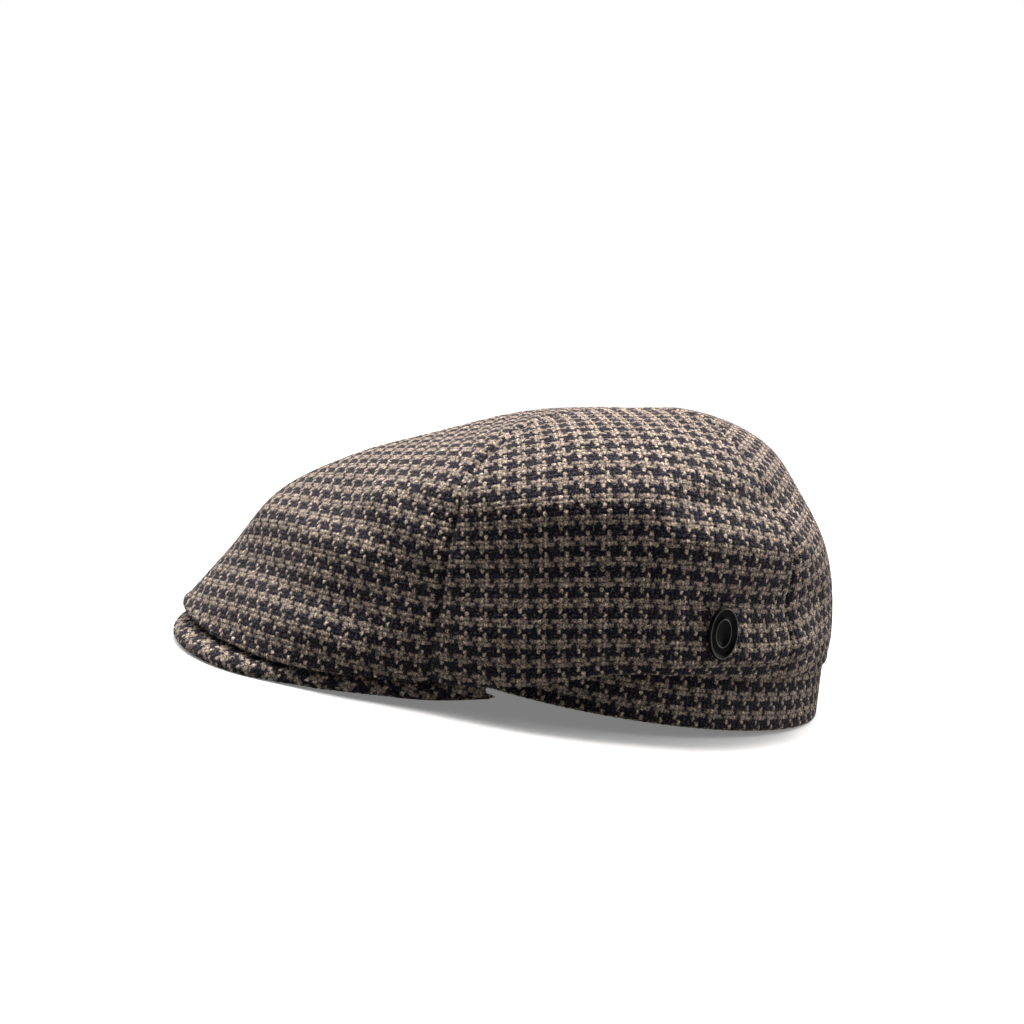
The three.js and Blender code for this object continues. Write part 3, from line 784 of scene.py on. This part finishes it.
def gunmetal(name, darkest, lightest):
    """Satin metal, its colour clouded between two tones, with a fine grain."""
    material = bpy.data.materials.new(name)
    material.use_nodes = True
    tree = material.node_tree
    shader = tree.nodes["Principled BSDF"]
    place = node(tree, "ShaderNodeTexCoord").outputs["Object"]
    grain = node(tree, "ShaderNodeTexNoise", place, None, 900.0, 3.0, 0.6).outputs[0]
    tarnish = node(tree, "ShaderNodeTexNoise", place, None, 220.0, 3.0, 0.6).outputs[0]
    colour = blend_of(tree, tarnish, darkest, lightest)
    tree.links.new(colour, shader.inputs["Base Color"])
    tree.links.new(node(tree, "ShaderNodeMapRange", grain, 0.3, 0.7, 0.28, 0.5).outputs[0],
                   shader.inputs["Roughness"])
    shader.inputs["Metallic"].default_value = 0.9
    bump = node(tree, "ShaderNodeBump", 0.35, 0.0002)
    tree.links.new(grain, bump.inputs["Height"])
    tree.links.new(bump.outputs[0], shader.inputs["Normal"])
    return material


oval_pin.data.materials.append(gunmetal("dark_gunmetal", (0.004, 0.004, 0.005, 1), (0.02, 0.02, 0.022, 1)))
# Two rising steps of the rim, marked bright in PIN_RIM, take this lighter metal, which draws thin bright
# lines round the pin.
oval_pin.data.materials.append(gunmetal("lighter_gunmetal", (0.14, 0.135, 0.13, 1), (0.4, 0.38, 0.36, 1)))
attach(oval_pin, "root")
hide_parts("pin_badge")

# ---- floor, light and camera --------------------------------------------------------------------
# A pale floor under soft studio light from above. The camera is a little above the cap's middle,
# close on the wearer's left, and rolled a little. The floor turns plain white far from the cap.
PLAIN_WHITE = (0.3, 0.8)
FLOOR_GLOW = (0.2, 1.0)
FLOOR_SIZE = 12
bpy.ops.mesh.primitive_plane_add(size=FLOOR_SIZE, location=(0, 0, 0))
floor = bpy.context.active_object
floor.name = "floor"
pale = bpy.data.materials.new("pale_floor")
pale.use_nodes = True
pale_tree = pale.node_tree
pale_shader = pale_tree.nodes["Principled BSDF"]
pale_shader.inputs["Roughness"].default_value = 0.9
seen = node(pale_tree, "ShaderNodeLightPath").outputs["Is Camera Ray"]
pale_tree.links.new(blend_of(pale_tree, seen, (0.2, 0.2, 0.2, 1), (0.95, 0.95, 0.95, 1)),
                    pale_shader.inputs["Base Color"])
spot = node(pale_tree, "ShaderNodeTexCoord").outputs["Object"]
from_cap = node(pale_tree, "ShaderNodeVectorMath", spot, operation="LENGTH").outputs["Value"]
far_off = node(pale_tree, "ShaderNodeMapRange", from_cap, *PLAIN_WHITE, *FLOOR_GLOW).outputs[0]
pale_shader.inputs["Emission Color"].default_value = (1, 1, 1, 1)
pale_tree.links.new(sum_of(pale_tree, "MULTIPLY", far_off, seen), pale_shader.inputs["Emission Strength"])
floor.data.materials.append(pale)

world = bpy.data.worlds.new("studio")
bpy.context.scene.world = world
world.use_nodes = True
sky = world.node_tree.nodes["Background"]
seen = node(world.node_tree, "ShaderNodeLightPath").outputs["Is Camera Ray"]
world.node_tree.links.new(blend_of(world.node_tree, seen, (0.02, 0.02, 0.02, 1), (1, 1, 1, 1)), sky.inputs[0])


def softbox(name, place, aim, size, power, colour=(1, 1, 1)):
    """A flat lamp at a place, turned to face a point."""
    lamp = bpy.data.lights.new(name, "AREA")
    lamp.shape = "RECTANGLE"
    lamp.size, lamp.size_y = size
    lamp.energy = power
    lamp.color = colour
    holder = bpy.data.objects.new(name, lamp)
    holder.location = place
    holder.rotation_euler = (Vector(aim) - Vector(place)).to_track_quat("-Z", "Y").to_euler()
    bpy.context.scene.collection.objects.link(holder)


cap_middle = (Vector(cad_box[0]) + Vector(cad_box[1])) / 2
softbox("top_box", (0, 0, 1.3), cap_middle, (0.45, 0.9), 27, (1, 0.97, 0.94))
softbox("front_top_box", (0.1, -0.7, 1.1), cap_middle, (0.6, 0.6), 5)
softbox("back_top_box", (0.1, 0.7, 1.1), cap_middle, (0.6, 0.6), 3)
softbox("left_box", (-0.9, -0.9, 0.45), cap_middle, (0.8, 0.8), 8)
softbox("right_box", (0.1, 1.3, 0.6), cap_middle, (0.8, 0.8), 6)

CAMERA = {"distance": 0.5, "rise": 6.55, "roll": 7.1, "aim": (0, -0.0014, 0.066), "focal_px": 1176.5}
rise = np.radians(CAMERA["rise"])
away = Vector((np.cos(rise), 0, np.sin(rise)))
camera = bpy.data.objects.new("camera", bpy.data.cameras.new("camera"))
bpy.context.scene.collection.objects.link(camera)
look = (-away).to_track_quat("-Z", "Y").to_matrix().to_4x4()
camera.matrix_world = (Matrix.Translation(Vector(CAMERA["aim"]) + away * CAMERA["distance"]) @ look
                       @ Matrix.Rotation(np.radians(CAMERA["roll"]), 4, "Z"))
camera.data.sensor_width = 36
camera.data.lens = CAMERA["focal_px"] / 1024 * 36
camera.data.clip_start = 0.01
bpy.context.scene.camera = camera
bpy.context.scene.view_settings.view_transform = "Standard"
